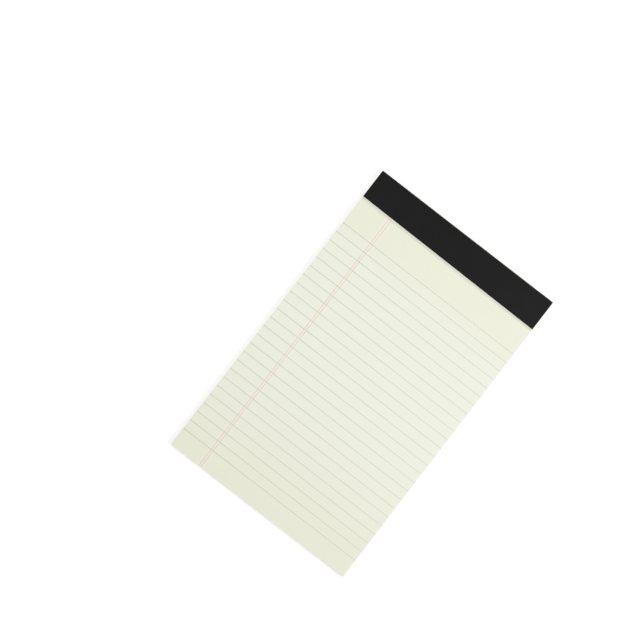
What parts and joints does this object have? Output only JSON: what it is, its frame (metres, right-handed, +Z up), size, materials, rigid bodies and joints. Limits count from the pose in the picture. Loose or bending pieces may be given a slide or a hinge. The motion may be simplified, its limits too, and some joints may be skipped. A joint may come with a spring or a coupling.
{
  "type": "legal pad",
  "caption": "Ruled writing pad: perforated leaves on a chipboard back, stapled at the head and bound with a black paper strip folded over it.",
  "frame": {"origin": "middle of the pad's footprint, on the surface that the pad lies on", "axes": "+X across the pad to the right of the writing, +Y along it to the bound head, +Z up out of the writing face"},
  "size_m": [0.127, 0.2032, 0.0055],
  "materials": {
    "leaf_paper": "matt, uncoated",
    "chipboard": "matt, raw",
    "strip_paper": "satin, coated",
    "staple_wire": "bright",
    "rule_ink": "matt print",
    "margin_ink": "matt print"
  },
  "bodies": {
    "root": {"sheets": "leaf_paper", "back_board": "chipboard", "binding_strip": "strip_paper", "staple_left": "staple_wire", "staple_right": "staple_wire", "ruling": "rule_ink", "margin_rules": "margin_ink"}
  },
  "joints": []
}
